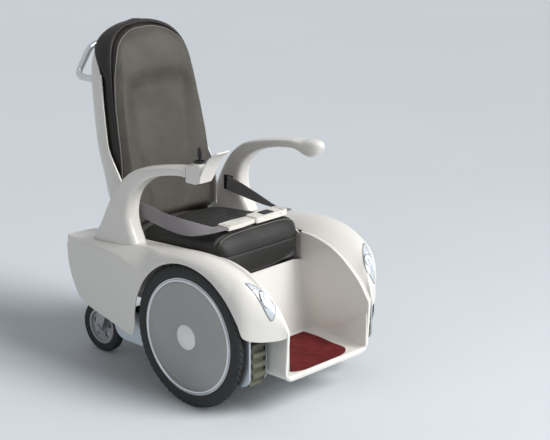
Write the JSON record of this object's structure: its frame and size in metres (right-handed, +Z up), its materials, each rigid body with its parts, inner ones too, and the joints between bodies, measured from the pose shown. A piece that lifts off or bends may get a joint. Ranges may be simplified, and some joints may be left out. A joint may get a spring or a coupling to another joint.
{
  "type": "stair climbing wheelchair",
  "caption": "Powered wheelchair with moulded body, footwell, high reclining back, lap belt and joystick; swing-down rubber crawlers beside the drive wheels climb steps.",
  "frame": {"origin": "on the floor, in the middle of the width and of the length", "axes": "+X to the occupant's left, +Y to the rear, +Z up"},
  "size_m": [0.642, 0.969, 1.09],
  "materials": {
    "white_plastic": "gloss",
    "frame_steel": "satin",
    "bright_steel": "brushed",
    "floor_mat": "matt",
    "reflector": "mirror",
    "lamp_lens": "clear",
    "upholstery": "matt weave",
    "webbing": "woven",
    "buckle_plastic": "satin",
    "black_plastic": "satin",
    "chrome_tube": "polished",
    "wheel_metal": "satin",
    "wheel_cover": "satin",
    "cap_white": "gloss",
    "tyre_black": "matt",
    "caster_metal": "satin",
    "crawler_alloy": "satin",
    "motor_case": "cast",
    "track_rubber": "matt"
  },
  "bodies": {
    "base": {"chassis_frame": "frame_steel", "stub_axles": "bright_steel", "footwell_tub": "white_plastic", "foot_mat": "floor_mat", "fender_right": "white_plastic", "fender_left": "white_plastic", "rear_body": "white_plastic", "headlamp_reflectors": "reflector", "headlamp_lenses": "lamp_lens", "seat_pan": "frame_steel", "seat_cushion": "upholstery", "armrest_right": "white_plastic", "armrest_left": "white_plastic", "belt_anchors": "bright_steel", "belt_strap_right": "webbing", "belt_strap_left": "webbing", "belt_tongue": "buckle_plastic", "belt_buckle": "buckle_plastic", "battery_pack": "black_plastic", "control_box": "black_plastic", "recline_pins": "bright_steel", "pod_hinge_pin": "bright_steel"},
    "button": {"buckle_button": "black_plastic"},
    "backrest": {"backrest_frame": "frame_steel", "backrest_shell": "white_plastic", "backrest_cushion": "upholstery", "push_handle": "chrome_tube"},
    "pod": {"joystick_pod": "white_plastic", "hand_guard": "white_plastic", "joystick_collar": "black_plastic"},
    "gimbal": {"joystick_gimbal": "bright_steel"},
    "stick": {"joystick_stick": "black_plastic"},
    "wheel_right": {"wheel_rim_right": "wheel_metal", "wheel_tyre_right": "tyre_black", "wheel_cover_right": "wheel_cover", "trim_ring_right": "chrome_tube", "hub_cap_right": "cap_white"},
    "wheel_left": {"wheel_rim_left": "wheel_metal", "wheel_tyre_left": "tyre_black", "wheel_cover_left": "wheel_cover", "trim_ring_left": "chrome_tube", "hub_cap_left": "cap_white"},
    "caster_swivel_right": {"caster_fork_right": "caster_metal"},
    "caster_swivel_left": {"caster_fork_left": "caster_metal"},
    "caster_wheel_right": {"caster_hub_right": "wheel_metal", "caster_tyre_right": "tyre_black"},
    "caster_wheel_left": {"caster_hub_left": "wheel_metal", "caster_tyre_left": "tyre_black"},
    "crawlers": {"crawler_frame_right": "crawler_alloy", "crawler_frame_left": "crawler_alloy", "crawler_cross_tube": "crawler_alloy", "track_gearmotor": "motor_case", "track_belt_right": "track_rubber", "track_belt_left": "track_rubber"},
    "track_drive": {"track_drive_shaft": "bright_steel", "track_sprockets": "crawler_alloy"},
    "front_idler_right": {"idler_right": "crawler_alloy"},
    "front_idler_left": {"idler_left": "crawler_alloy"}
  },
  "joints": [
    {"name": "wheel_spin_right", "type": "hinge", "parent": "base", "child": "wheel_right", "pos_m": [-0.297, -0.1775, 0.225], "axis": [1, 0, 0], "continuous": true},
    {"name": "wheel_spin_left", "type": "hinge", "parent": "base", "child": "wheel_left", "pos_m": [0.297, -0.1775, 0.225], "axis": [1, 0, 0], "continuous": true},
    {"name": "caster_swivel_right", "type": "hinge", "parent": "base", "child": "caster_swivel_right", "pos_m": [-0.172, 0.3275, 0.222], "axis": [0, 0, 1], "continuous": true},
    {"name": "caster_swivel_left", "type": "hinge", "parent": "base", "child": "caster_swivel_left", "pos_m": [0.172, 0.3275, 0.222], "axis": [0, 0, 1], "continuous": true},
    {"name": "caster_spin_right", "type": "hinge", "parent": "caster_swivel_right", "child": "caster_wheel_right", "pos_m": [-0.172, 0.3675, 0.088], "axis": [1, 0, 0], "continuous": true},
    {"name": "caster_spin_left", "type": "hinge", "parent": "caster_swivel_left", "child": "caster_wheel_left", "pos_m": [0.172, 0.3675, 0.088], "axis": [1, 0, 0], "continuous": true},
    {"name": "crawler_swing", "type": "hinge", "parent": "base", "child": "crawlers", "pos_m": [0, -0.1775, 0.225], "axis": [1, 0, 0], "range_deg": [-23, 0]},
    {"name": "track_drive_spin", "type": "hinge", "parent": "crawlers", "child": "track_drive", "pos_m": [0, 0.1425, 0.172], "axis": [1, 0, 0], "continuous": true},
    {"name": "idler_spin_right", "type": "hinge", "parent": "crawlers", "child": "front_idler_right", "pos_m": [-0.24, -0.3775, 0.146], "axis": [1, 0, 0], "continuous": true},
    {"name": "idler_spin_left", "type": "hinge", "parent": "crawlers", "child": "front_idler_left", "pos_m": [0.24, -0.3775, 0.146], "axis": [1, 0, 0], "continuous": true},
    {"name": "backrest_recline", "type": "hinge", "parent": "base", "child": "backrest", "pos_m": [0, 0.2525, 0.425], "axis": [1, 0, 0], "range_deg": [-22, 0]},
    {"name": "pod_swing", "type": "hinge", "parent": "base", "child": "pod", "pos_m": [-0.262, -0.1265, 0.722], "axis": [0, 0, 1], "range_deg": [-80, 0]},
    {"name": "stick_fore_aft", "type": "hinge", "parent": "pod", "child": "gimbal", "pos_m": [-0.238, -0.1695, 0.742], "axis": [1, 0, 0], "range_deg": [-15, 15], "stiffness_Nm_per_rad": 0.2},
    {"name": "stick_side", "type": "hinge", "parent": "gimbal", "child": "stick", "pos_m": [-0.238, -0.1695, 0.742], "axis": [0, 1, 0], "range_deg": [-15, 15], "stiffness_Nm_per_rad": 0.2},
    {"name": "buckle_press", "type": "slide", "parent": "base", "child": "button", "axis": [0, 0, -1], "range_m": [0, 0.0035], "stiffness_N_per_m": 600, "springref_m": -0.002}
  ],
  "couplings": [
    {"joint": "idler_spin_right", "follows": "track_drive_spin", "ratio": 1.4545},
    {"joint": "idler_spin_left", "follows": "track_drive_spin", "ratio": 1.4545}
  ]
}
